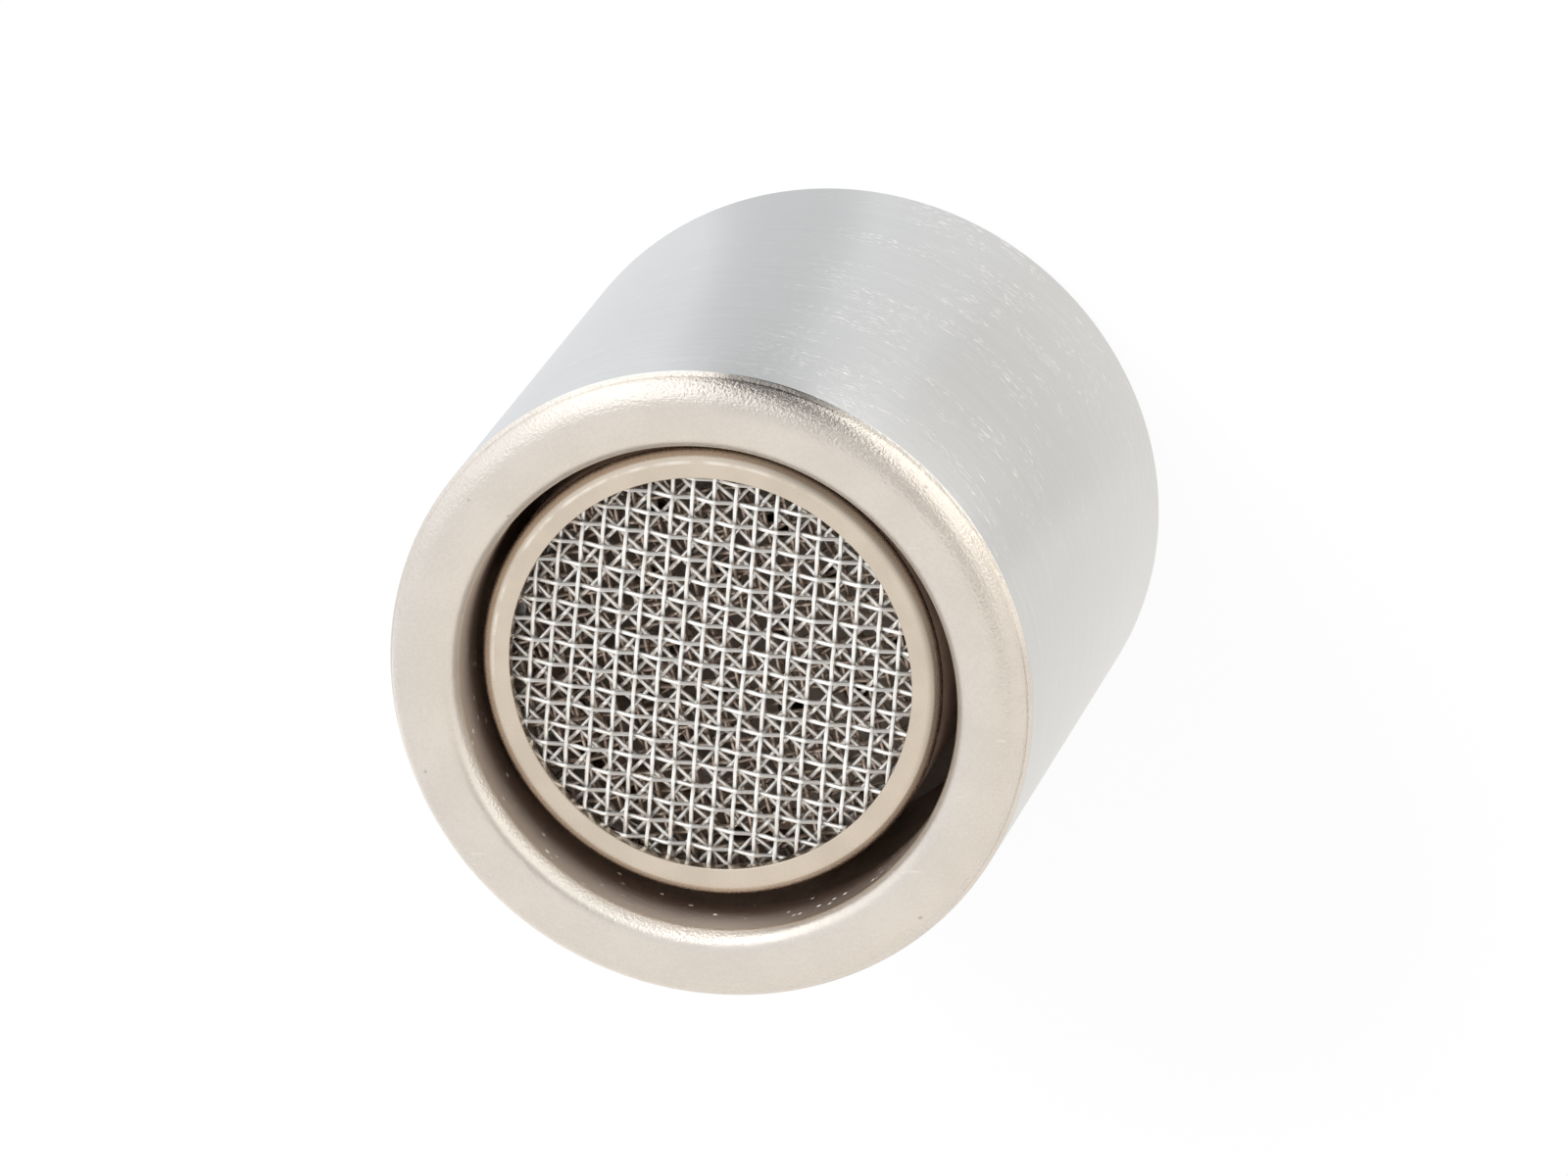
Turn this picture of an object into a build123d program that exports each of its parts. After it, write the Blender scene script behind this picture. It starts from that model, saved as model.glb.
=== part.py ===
from build123d import *

import os
from math import isclose, pi

# Tap aerator: a turned housing that screws onto a spout, and the insert that hangs in it.
# Millimetres. The origin is the centre of the inlet rim, and +Z points to the outlet.

# Inlet thread, M22 x 1, cut inside the housing
thread_d = 22.0
thread_pitch = 1.0
thread_depth_share = 1.0825
thread_l = 6.8
thread_entry = 0.6
relief_depth = 0.15

# Housing, turned in one piece: brushed body and satin outlet lip
housing_l = 23.7
housing_wall = 1.0
inlet_edge_break = 0.25
lip_h = 1.0
lip_step = 0.15
lip_step_round_share = 0.8
lip_outer_round = 0.95
lip_inner_round = 1.0
throat_l = 3.2
throat_step = 0.2
seat_w = 0.72

# Insert: it hangs loosely on the seat, and lies a little to one side
insert_shift_x = -0.13
insert_shift_y = 0.21
fit_gap = 0.05

# Seal washer, between the end of the thread and the insert's flange
washer_t = 1.8
washer_play = 0.1
washer_lead = 1.0
washer_overlap = 0.4

# Jet carrier, a moulded flange with a pocket, and a skirt that the sleeve is pushed over
flange_play = 0.25
flange_t = 2.0
flange_wall = 1.8
flange_edge_break = 0.3
skirt_l = 2.6
skirt_wall = 1.0

# Jet disc, in the carrier's pocket
disc_t = 0.7
jet_d = 1.0
jet_count = 12
jet_inset = 1.9
inner_jet_count = 4
inner_jet_ring_d = 4.0

# Strainer dome, on the disc in the same pocket
dome_rim_t = 0.7
dome_wall = 0.7
dome_margin = 1.1
dome_clear = 0.4
slot_count = 16
slot_w = 0.7
slot_rib = 0.28
slot_margin = 1.1

# Screen sleeve, a drawn cup with an in-turned rim and air windows
air_gap = 0.69
sleeve_wall = 0.5
sleeve_recess = 1.7
sleeve_rim_w = 1.08
sleeve_rim_round = 0.5
window_count = 8
window_w = 3.4
window_h = 2.6
window_margin = 0.6

# Woven screens: crossing wires fused where they pass, drawn coarser behind the front one
screen_t = 0.28
wire_layer_share = 0.6
wire_w = 0.32
front_wire_pitch = 1.5
back_wire_pitch = 2.2
screen_selvage = 0.45
outlet_screen_turn = -8.6
second_screen_turn = 44.7
third_screen_turn = 8.0
fourth_screen_turn = 29.0

# Retainer ring, split so that it springs against the sleeve
retainer_h = 0.9
retainer_w = 0.7
retainer_split = 2.0

# Diameters, from the thread inwards
housing_d = thread_d + 2 * housing_wall
lip_d = housing_d - 2 * lip_step
thread_minor_d = thread_d - thread_depth_share * thread_pitch
relief_d = thread_d + 2 * relief_depth
flange_d = thread_minor_d - 2 * flange_play
chamber_d = flange_d - 2 * seat_w
throat_d = chamber_d - 2 * throat_step
sleeve_d = throat_d - 2 * air_gap
sleeve_bore_d = sleeve_d - 2 * sleeve_wall
sleeve_opening_d = sleeve_d - 2 * sleeve_rim_w
skirt_d = sleeve_bore_d - 2 * fit_gap
skirt_bore_d = skirt_d - 2 * skirt_wall
screen_d = sleeve_bore_d - 2 * fit_gap
pocket_d = flange_d - 2 * flange_wall
pocket_part_d = pocket_d - 2 * fit_gap
washer_d = thread_minor_d - 2 * washer_play
washer_bore_d = pocket_d - 2 * washer_overlap
dome_d = washer_bore_d - 2 * dome_margin
jet_ring_d = skirt_bore_d - 2 * jet_inset

# Heights, from the inlet to the outlet
washer_z = thread_l + washer_lead
flange_z = washer_z + washer_t
disc_z = flange_z + dome_rim_t
pocket_floor_z = disc_z + disc_t
seat_z = flange_z + flange_t
skirt_end_z = seat_z + skirt_l
sleeve_top_z = housing_l - sleeve_recess
stack_top_z = sleeve_top_z - sleeve_wall
lip_base_z = housing_l - lip_h
throat_base_z = housing_l - throat_l

# The insert's own axis, and the plane of its turned sections
insert_axis = Axis((insert_shift_x, insert_shift_y, 0), (0, 0, 1))
insert_section = Plane(origin=insert_axis.position, x_dir=(1, 0, 0), z_dir=(0, -1, 0))


def insert_level(height, turn=0):
    """The plane across the insert's axis at this height, turned about that axis."""
    origin = (insert_shift_x, insert_shift_y, height)
    return Plane(origin=origin).rotated((0, 0, turn))


def ring_edges(part, diameter, height):
    """The circular edges of this diameter at this height."""
    return [
        edge
        for edge in part.edges().filter_by(GeomType.CIRCLE)
        if isclose(2 * edge.radius, diameter, abs_tol=1e-4)
        and isclose(edge.arc_center.Z, height, abs_tol=1e-4)
    ]


def save(piece, name):
    """Label the finished piece and write its STEP file."""
    piece.part.label = name
    export_step(piece.part, f"parts/{name}.step")


os.makedirs("parts", exist_ok=True)

# Housing
with BuildPart() as housing:
    with BuildSketch(Plane.XZ):
        with BuildLine():
            Polyline(
                (thread_minor_d / 2, 0),
                (housing_d / 2, 0),
                (housing_d / 2, lip_base_z),
                (lip_d / 2, lip_base_z),
                (lip_d / 2, housing_l),
                (throat_d / 2, housing_l),
                (throat_d / 2, throat_base_z),
                (chamber_d / 2, throat_base_z - throat_step),
                (chamber_d / 2, seat_z),
                (relief_d / 2, seat_z),
                (relief_d / 2, thread_l + (relief_d - thread_minor_d) / 2),
                (thread_minor_d / 2, thread_l),
                close=True,
            )
        make_face()
    revolve(axis=Axis.Z)
    fillet(ring_edges(housing, lip_d, housing_l), lip_outer_round)
    fillet(ring_edges(housing, throat_d, housing_l), lip_inner_round)
    fillet(ring_edges(housing, housing_d, lip_base_z), lip_step_round_share * lip_step)
    chamfer(ring_edges(housing, housing_d, 0), inlet_edge_break)
    chamfer(ring_edges(housing, thread_minor_d, 0), thread_entry)
save(housing, "housing")

# Seal washer, centred by the thread
with BuildPart() as seal_washer:
    with BuildSketch(Plane.XY.offset(washer_z)):
        Circle(washer_d / 2)
        Circle(washer_bore_d / 2, mode=Mode.SUBTRACT)
    extrude(amount=washer_t)
save(seal_washer, "seal_washer")

# Jet carrier
with BuildPart() as jet_carrier:
    with BuildSketch(insert_section):
        with BuildLine():
            Polyline(
                (pocket_d / 2, flange_z),
                (flange_d / 2, flange_z),
                (flange_d / 2, seat_z),
                (skirt_d / 2, seat_z),
                (skirt_d / 2, skirt_end_z),
                (skirt_bore_d / 2, skirt_end_z),
                (skirt_bore_d / 2, pocket_floor_z),
                (pocket_d / 2, pocket_floor_z),
                close=True,
            )
        make_face()
    revolve(axis=insert_axis)
    chamfer(ring_edges(jet_carrier, flange_d, flange_z), flange_edge_break)
save(jet_carrier, "jet_carrier")

# Jet disc
with BuildPart() as jet_disc:
    with BuildSketch(insert_level(disc_z)):
        Circle(pocket_part_d / 2)
        with PolarLocations(jet_ring_d / 2, jet_count):
            Circle(jet_d / 2, mode=Mode.SUBTRACT)
        with PolarLocations(inner_jet_ring_d / 2, inner_jet_count):
            Circle(jet_d / 2, mode=Mode.SUBTRACT)
    extrude(amount=disc_t)
save(jet_disc, "jet_disc")

# Strainer dome: a shell of even wall on a flat rim, short of the thread. Its slots start at
# the crown, where the ribs between them are narrowest.
dome_h = washer_t + washer_lead - dome_clear
dome_r = ((dome_d / 2) ** 2 + dome_h**2) / (2 * dome_h)
dome_centre = (insert_shift_x, insert_shift_y, flange_z - dome_h + dome_r)
slot_start_r = slot_count * (slot_w + slot_rib) / (2 * pi)
slot_end_r = dome_d / 2 - slot_margin
with BuildPart() as strainer_dome:
    with BuildSketch(insert_level(flange_z)):
        Circle(pocket_part_d / 2)
    extrude(amount=dome_rim_t)
    with Locations(dome_centre):
        Sphere(dome_r)
    with BuildSketch(insert_level(disc_z)):
        Circle(2 * dome_r)
    extrude(amount=2 * dome_r, mode=Mode.SUBTRACT)
    with Locations(dome_centre):
        Sphere(dome_r - dome_wall, mode=Mode.SUBTRACT)
    with BuildSketch(insert_level(disc_z)):
        with PolarLocations((slot_start_r + slot_end_r) / 2, slot_count):
            Rectangle(slot_end_r - slot_start_r, slot_w)
    extrude(amount=-dome_r, mode=Mode.SUBTRACT)
save(strainer_dome, "strainer_dome")

# Screen sleeve
with BuildPart() as screen_sleeve:
    with BuildSketch(insert_section):
        with BuildLine():
            Polyline(
                (sleeve_bore_d / 2, seat_z),
                (sleeve_d / 2, seat_z),
                (sleeve_d / 2, sleeve_top_z),
                (sleeve_opening_d / 2, sleeve_top_z),
                (sleeve_opening_d / 2, stack_top_z),
                (sleeve_bore_d / 2, stack_top_z),
                close=True,
            )
        make_face()
    revolve(axis=insert_axis)
    fillet(ring_edges(screen_sleeve, sleeve_d, sleeve_top_z), sleeve_rim_round)
    with BuildSketch(insert_level(skirt_end_z + window_margin)):
        with PolarLocations(sleeve_d / 2, window_count):
            Rectangle(4 * sleeve_wall, window_w)
    extrude(amount=window_h, mode=Mode.SUBTRACT)
save(screen_sleeve, "screen_sleeve")


def woven_screen(place, pitch, turn):
    """One screen of the stack, counted from the sleeve's rim: two crossed layers of wires in a selvage."""
    bottom_z = stack_top_z - (place + 1) * screen_t
    ridge_h = wire_layer_share * screen_t
    bore_d = screen_d - 2 * screen_selvage
    wire_end_d = screen_d - screen_selvage
    wire_count = 2 * int((bore_d / 2 - wire_w) / pitch + 0.5)
    with BuildPart() as screen:
        with BuildSketch(insert_level(bottom_z)):
            Circle(screen_d / 2)
            Circle(bore_d / 2, mode=Mode.SUBTRACT)
        extrude(amount=screen_t)
        with BuildSketch(insert_level(bottom_z, turn)):
            with GridLocations(pitch, pitch, wire_count, 1):
                Rectangle(wire_w, screen_d)
            Circle(wire_end_d / 2, mode=Mode.INTERSECT)
        extrude(amount=ridge_h)
        with BuildSketch(insert_level(bottom_z + screen_t - ridge_h, turn)):
            with GridLocations(pitch, pitch, 1, wire_count):
                Rectangle(screen_d, wire_w)
            Circle(wire_end_d / 2, mode=Mode.INTERSECT)
        extrude(amount=ridge_h)
    return screen


# Woven screens, stacked from the sleeve's rim inwards, each turned its own way
screens = {
    "outlet_screen": (front_wire_pitch, outlet_screen_turn),
    "second_screen": (back_wire_pitch, second_screen_turn),
    "third_screen": (back_wire_pitch, third_screen_turn),
    "fourth_screen": (back_wire_pitch, fourth_screen_turn),
}
for place, (name, (pitch, turn)) in enumerate(screens.items()):
    save(woven_screen(place, pitch, turn), name)

# Retainer ring, under the stack
retainer_z = stack_top_z - len(screens) * screen_t - retainer_h
with BuildPart() as retainer_ring:
    with BuildSketch(insert_level(retainer_z)):
        Circle(screen_d / 2)
        Circle(screen_d / 2 - retainer_w, mode=Mode.SUBTRACT)
        with Locations((screen_d / 2, 0)):
            Rectangle(4 * retainer_w, retainer_split, mode=Mode.SUBTRACT)
    extrude(amount=retainer_h)
save(retainer_ring, "retainer_ring")
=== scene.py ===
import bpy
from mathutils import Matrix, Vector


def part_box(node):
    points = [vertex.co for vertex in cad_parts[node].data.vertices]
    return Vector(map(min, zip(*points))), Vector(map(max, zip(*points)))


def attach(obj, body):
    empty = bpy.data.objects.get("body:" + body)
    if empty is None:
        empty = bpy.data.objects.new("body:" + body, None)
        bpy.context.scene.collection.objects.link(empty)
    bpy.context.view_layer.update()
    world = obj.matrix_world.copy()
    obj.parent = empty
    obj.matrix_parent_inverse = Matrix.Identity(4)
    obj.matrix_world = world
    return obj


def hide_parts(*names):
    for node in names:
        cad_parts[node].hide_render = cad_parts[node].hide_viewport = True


bl_info = {
    "name": "Tap Aerator",
    "version": (1, 0, 0),
    "blender": (4, 5, 0),
    "location": "View3D > Sidebar > Aerator",
    "description": "Models a tap aerator with a brushed housing and woven wire screens around its solids",
    "category": "Object",
}

import math
from collections import namedtuple
from random import Random

import bmesh
import bpy
from bpy.props import FloatProperty, FloatVectorProperty, IntProperty, PointerProperty
from mathutils import Matrix, Vector

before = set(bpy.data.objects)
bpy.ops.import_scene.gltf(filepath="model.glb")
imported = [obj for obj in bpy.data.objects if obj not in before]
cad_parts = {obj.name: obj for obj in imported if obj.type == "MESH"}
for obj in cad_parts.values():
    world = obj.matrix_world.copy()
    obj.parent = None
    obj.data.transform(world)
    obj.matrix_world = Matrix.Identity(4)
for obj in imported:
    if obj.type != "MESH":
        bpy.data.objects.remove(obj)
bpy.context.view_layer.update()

MM = 0.001
BODY = "root"

# Outlines are rounded at this many times their size, because the bevel works to coarse tolerances.
WORK_SCALE = 1000.0
ROUND_SEGMENTS = 10
TURN_STEPS = 256
MERGE_DISTANCE = 1e-7
CREASE_ANGLE = math.radians(32)

Turned = namedtuple("Turned", "axis radius low high")


def turned_node(node):
    """A round CAD node's upright axis, outer radius, and lower and upper end."""
    low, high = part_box(node)
    middle = (low + high) / 2
    return Turned(Vector((middle.x, middle.y, 0)), (high.y - low.y) / 2, low.z, high.z)


HOUSING = turned_node("housing")
SLEEVE = turned_node("screen_sleeve")
CARRIER = turned_node("jet_carrier")
WASHER = turned_node("seal_washer")
RETAINER = turned_node("retainer_ring")
INSERT_AXIS = SLEEVE.axis


def length(name, default, description):
    """A length that the sidebar shows in the scene's units."""
    return FloatProperty(name=name, description=description, default=default, unit="LENGTH", precision=5)


def colour(name, default, description):
    """A colour that the sidebar shows as a swatch."""
    return FloatVectorProperty(
        name=name, description=description, default=default, subtype="COLOR", min=0.0, max=1.0
    )


class AeratorHousingSizes(bpy.types.PropertyGroup):
    """Sizes of the turned housing."""

    radius: length("Body radius", HOUSING.radius, "Radius of the brushed body")
    top: length("Outlet height", HOUSING.high, "Height of the outlet lip above the inlet rim")
    lip_height: length("Lip height", 1.0 * MM, "Height of the satin lip above the brushed body")
    lip_step: length("Lip step", 0.15 * MM, "How far the lip stands back from the body")
    lip_outer_round: length("Lip outer rounding", 0.95 * MM, "Rounding of the lip's outer edge")
    lip_inner_round: length("Lip inner rounding", 0.75 * MM, "Radius of the lip's roll into the throat")
    shoulder: length("Shoulder fall", 0.12 * MM, "How far the edge round the lip slopes down to the body")
    throat_radius: length("Throat radius", 9.285 * MM, "Radius of the bore behind the lip")
    throat_depth: length("Throat depth", 3.2 * MM, "Depth of the throat below the outlet")
    throat_drift: length("Throat drift", 0.04 * MM, "How far off centre the throat is bored")
    chamber_radius: length("Chamber radius", 9.489 * MM, "Radius of the air chamber round the sleeve")
    relief_radius: length("Relief radius", 11.15 * MM, "Radius of the groove that ends the thread")
    edge_break: length("Edge break", 0.25 * MM, "Chamfer of the inlet rim's outer edge")
    thread_radius: length("Thread radius", 11.0 * MM, "Major radius of the inlet thread")
    thread_crest: length("Thread crest radius", 10.459 * MM, "Radius inside the crests of the thread")
    thread_pitch: length("Thread pitch", 1.0 * MM, "Distance between turns of the thread")
    thread_length: length("Thread length", 6.8 * MM, "Length of the inlet thread")


class AeratorInsertSizes(bpy.types.PropertyGroup):
    """Sizes of the insert that hangs in the housing."""

    sleeve_wall: length("Sleeve wall", 0.5 * MM, "Thickness of the sleeve's sheet")
    rim_width: length("Sleeve rim width", 1.08 * MM, "Width of the in-turned rim round the mesh")
    rim_flat: length("Sleeve rim flat", 0.6 * MM, "Width of the flat part of that rim")
    rim_drop: length("Sleeve rim drop", 0.07 * MM, "How far the rim falls outside its flat part")
    rim_round: length("Sleeve rim rounding", 0.36 * MM, "Rounding of the rim's outer edge")
    window_low: length("Window foot", 14.8 * MM, "Height of the lower edge of the air windows")
    window_high: length("Window head", 17.4 * MM, "Height of the upper edge of the air windows")
    window_count: IntProperty(name="Windows", description="Air windows round the sleeve", default=8)
    retainer_width: length("Retainer width", 0.7 * MM, "Width of the split ring's section")
    retainer_split: length("Retainer split", 2.0 * MM, "Gap between the split ring's ends")
    skirt_radius: length("Skirt radius", 8.049 * MM, "Outer radius of the carrier's skirt")
    skirt_wall: length("Skirt wall", 1.0 * MM, "Thickness of the carrier's skirt")
    pocket_radius: length("Pocket radius", 8.409 * MM, "Radius of the carrier's pocket")
    pocket_depth: length("Pocket depth", 1.4 * MM, "Depth of the carrier's pocket")
    washer_bore: length("Washer bore", 8.009 * MM, "Radius of the hole in the seal washer")


class AeratorWireSizes(bpy.types.PropertyGroup):
    """Sizes of the woven wire."""

    diameter: length("Wire diameter", 0.162 * MM, "Diameter of the wire")
    pitch: length("Wire pitch", 0.795 * MM, "Distance from wire to wire")
    reach: length("Disc radius", 8.0 * MM, "Radius that the wires are cut to")
    wander: length("Wire wander", 0.035 * MM, "How far a wire strays sideways from its place")
    bow: length("Mesh bow", 0.12 * MM, "How far the middle of the mesh stands above its edge")


class AeratorFinishes(bpy.types.PropertyGroup):
    """Colours of the surfaces."""

    body: colour("Brushed body", (0.625, 0.625, 0.618), "Brushed plate of the body")
    lip: colour("Satin lip", (0.735, 0.675, 0.610), "Satin plate of the outlet lip")
    sleeve: colour("Sleeve plate", (0.668, 0.578, 0.478), "Warm plate of the sleeve")
    # The bore plate's brown is darkened as painted shade inside the housing and the sleeve
    bore: colour("Bore plate", (0.66, 0.54, 0.46), "Duller plate inside the housing")
    wire: colour("Wire", (0.99, 0.955, 0.91), "Drawn wire of the outlet screen")
    # The second screen's wire and the two inner screens' wire are darker copies of the outlet wire: painted
    # shade
    shaded_under_wire: colour("Second wire", (0.93, 0.89, 0.84), "Duller wire of the second screen")
    shaded_deep_wire: colour("Deep wire", (0.53, 0.425, 0.35), "Stained wire of the two inner screens")
    spring: colour("Spring ring", (0.62, 0.61, 0.59), "Plain spring steel of the retainer")
    # The moulding's grey-brown is darkened as painted shade behind the screens
    plastic: colour("Moulded insert", (0.46, 0.39, 0.33), "Grey-brown moulding of the insert")
    rubber: colour("Washer rubber", (0.045, 0.045, 0.048), "Black rubber of the seal washer")


class AeratorStudio(bpy.types.PropertyGroup):
    """The camera and the light."""

    eye: FloatVectorProperty(
        name="Camera place",
        description="Where the camera stands",
        default=(107.49 * MM, 137.80 * MM, 412.78 * MM),
        subtype="TRANSLATION",
        unit="LENGTH",
    )
    tilt: FloatProperty(
        name="Camera tilt",
        description="Turn of the camera about the X axis",
        default=math.radians(-18.96),
        subtype="ANGLE",
    )
    swing: FloatProperty(
        name="Camera swing",
        description="Turn of the camera about its own upright",
        default=math.radians(14.2),
        subtype="ANGLE",
    )
    focal: FloatProperty(
        name="Focal length",
        description="Focal length of the camera",
        default=270.77,
        unit="CAMERA",
    )
    room_light: FloatProperty(
        name="Room light",
        description="Level of the light from all sides",
        default=0.8,
        subtype="FACTOR",
        min=0.0,
        max=1.0,
    )
    key_power: FloatProperty(
        name="Key power",
        description="Power of the key light",
        default=3.0,
        unit="POWER",
    )


class Signal:
    """A socket in a node tree. Arithmetic on signals and numbers adds Math nodes."""

    def __init__(self, recipe, socket):
        self.recipe = recipe
        self.socket = socket

    def combine(self, operation, first, second):
        return self.recipe.node("ShaderNodeMath", {"operation": operation}, {0: first, 1: second})

    def __add__(self, other):
        return self.combine("ADD", self, other)

    def __radd__(self, other):
        return self.combine("ADD", other, self)

    def __sub__(self, other):
        return self.combine("SUBTRACT", self, other)

    def __rsub__(self, other):
        return self.combine("SUBTRACT", other, self)

    def __mul__(self, other):
        return self.combine("MULTIPLY", self, other)

    def __rmul__(self, other):
        return self.combine("MULTIPLY", other, self)

    def larger(self, other):
        return self.combine("MAXIMUM", self, other)


class Recipe:
    """The emptied node tree of a material or of the world."""

    def __init__(self, owner):
        owner.use_nodes = True
        self.tree = owner.node_tree
        self.tree.nodes.clear()

    def node(self, kind, settings=None, sockets=None, output=0):
        """Add a node, set it up, feed its sockets, and return one of its outputs."""
        made = self.tree.nodes.new(kind)
        for name, value in (settings or {}).items():
            setattr(made, name, value)
        for name, value in (sockets or {}).items():
            if isinstance(value, Signal):
                self.tree.links.new(value.socket, made.inputs[name])
            else:
                made.inputs[name].default_value = value
        return Signal(self, made.outputs[output]) if made.outputs else None

    def place(self):
        """The surface point in the piece's own coordinates, which are the part's."""
        return self.node("ShaderNodeTexCoord", output="Object")

    def vector(self, operation, first, second):
        """Arithmetic on two places, directions or colours."""
        return self.node("ShaderNodeVectorMath", {"operation": operation}, {0: first, 1: second})

    def unit(self, arrow):
        """The direction of an arrow."""
        return self.node("ShaderNodeVectorMath", {"operation": "NORMALIZE"}, {0: arrow})

    def noise(self, spot, detail):
        """Noise from 0 to 1, with one cell to each unit."""
        return self.node("ShaderNodeTexNoise", {}, {"Vector": spot, "Scale": 1.0, "Detail": detail})

    def grain(self, place, cells, detail):
        """Noise with this many cells to the metre along each axis."""
        return self.noise(self.vector("MULTIPLY", place, cells), detail)

    def ramp(self, value, low, high):
        """A smooth rise from 0 where the value is low to 1 where it is high."""
        return self.node(
            "ShaderNodeMapRange",
            {"interpolation_type": "SMOOTHSTEP"},
            {"Value": value, "From Min": low, "From Max": high},
        )

    def fall(self, value, low, high):
        """A smooth fall from 1 where the value is low to 0 where it is high."""
        return 1.0 - self.ramp(value, low, high)

    def facing(self, arrow, towards):
        """How far an arrow reaches in a direction: a cosine where both are directions."""
        return self.node(
            "ShaderNodeVectorMath",
            {"operation": "DOT_PRODUCT"},
            {0: arrow, 1: towards},
            "Value",
        )

    def bearing(self, place):
        """The level direction from the axis towards a place."""
        return self.unit(self.vector("MULTIPLY", place, (1, 1, 0)))

    def side(self, bearing, azimuth, low, high):
        """One side of the part: a smooth rise towards an azimuth, between two cosines from it."""
        return self.ramp(self.facing(bearing, direction(azimuth)), low, high)

    def round_grain(self, place, cells, turns, detail):
        """Noise drawn out round the axis: cells to the metre across it, and turns to the radian along it."""
        bearing = self.bearing(place)
        across = (self.facing(place, bearing) - self.facing(place, (0, 0, 1))) * cells
        along = self.vector("MULTIPLY", bearing, (turns, turns, turns))
        lifted = self.node("ShaderNodeCombineXYZ", {}, {"Z": across})
        return self.noise(self.vector("ADD", along, lifted), detail)

    def spots(self, place, cells):
        """The distance to the nearest of scattered spots, in cells, with this many cells to the metre."""
        return self.node("ShaderNodeTexVoronoi", {}, {"Vector": place, "Scale": cells}, "Distance")

    def mix(self, share, first, second):
        """A colour between two colours."""
        return self.node("ShaderNodeMix", {"data_type": "RGBA"}, {0: share, 6: first, 7: second}, 2)

    def bump(self, height, depth):
        """A normal tilted by a height map that is this deep."""
        return self.node("ShaderNodeBump", {}, {"Height": height, "Distance": depth})

    def surface(self, sockets):
        """Finish the tree with one principled surface."""
        shader = self.node("ShaderNodeBsdfPrincipled", {}, sockets)
        self.node("ShaderNodeOutputMaterial", {}, {"Surface": shader})


def direction(azimuth, elevation=0):
    """The unit vector towards an azimuth and an elevation in degrees."""
    turn = math.radians(azimuth)
    rise = math.radians(elevation)
    return Vector((math.cos(turn) * math.cos(rise), math.sin(turn) * math.cos(rise), math.sin(rise)))


def opaque(rgb, level=1.0):
    """A colour with its alpha, made lighter or darker by a level."""
    return (*(min(1.0, part * level) for part in rgb), 1.0)


def new_material(name):
    """A material and its empty recipe."""
    material = bpy.data.materials.new(name)
    return material, Recipe(material)


# Bare metal in the body's scratches, which also stand for painted glints on one side; painted highlights on
# the lip's foot and inner roll, and the lip's dust specks; and a painted highlight along the sleeve's ridge
SCRATCH_GLINT_TONE = (1.0, 0.97, 0.94, 1)
HIGHLIGHT_AND_DUST_TONE = (0.94, 0.875, 0.785, 1)
RIDGE_HIGHLIGHT_TONE = (0.97, 0.9, 0.8, 1)

# Azimuths, in degrees, of the painted glints, highlights and shade that lie on one side only
BODY_GLINT_SIDE = 52
FOOT_HIGHLIGHT_SIDE = 36
FOOT_SHADE_SIDE = 72
ROLL_HIGHLIGHT_SIDE = -125
ROLL_SHADE_SIDE = -35
RIDGE_HIGHLIGHT_SIDE = 120
SLOPE_SHADE_SIDE = 25

# The radius of the lip's crest
LIP_CREST = 10.6 * MM


def brushed_plate(rgb):
    """Hairlines round the body, with patches of short bright scratches, thicker on one side as painted
    glints.
    """
    material, recipe = new_material("brushed_plate")
    place = recipe.place()
    hairline = recipe.grain(place, (700, 700, 16000), 3)
    streak = recipe.grain(place, (160, 160, 3600), 2)
    cloud = recipe.grain(place, (110, 110, 70), 2)
    dash = recipe.ramp(recipe.grain(place, (2600, 2600, 19000), 1), 0.62, 0.69)
    patch = recipe.ramp(recipe.grain(place, (300, 300, 900), 1), 0.42, 0.62)
    # Scratches lie all round, and gather more thickly on one side as painted glints
    glint_side = recipe.side(recipe.bearing(place), BODY_GLINT_SIDE, 0.82, 0.97)
    scratch = dash * patch * (0.2 + 0.8 * glint_side)
    tone = 0.5 * hairline + 0.3 * streak + 0.2 * cloud
    plate = recipe.mix(recipe.ramp(tone, 0.3, 0.7), opaque(rgb, 0.96), opaque(rgb, 1.03))
    recipe.surface(
        {
            "Base Color": recipe.mix(scratch, plate, SCRATCH_GLINT_TONE),
            "Metallic": 1.0,
            "Roughness": 0.20 + 0.08 * hairline,
            "Anisotropic": 0.3,
            "Anisotropic Rotation": 0.25,
            "Normal": recipe.bump(hairline + 0.5 * streak, 0.0012 * MM),
        }
    )
    return material


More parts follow.
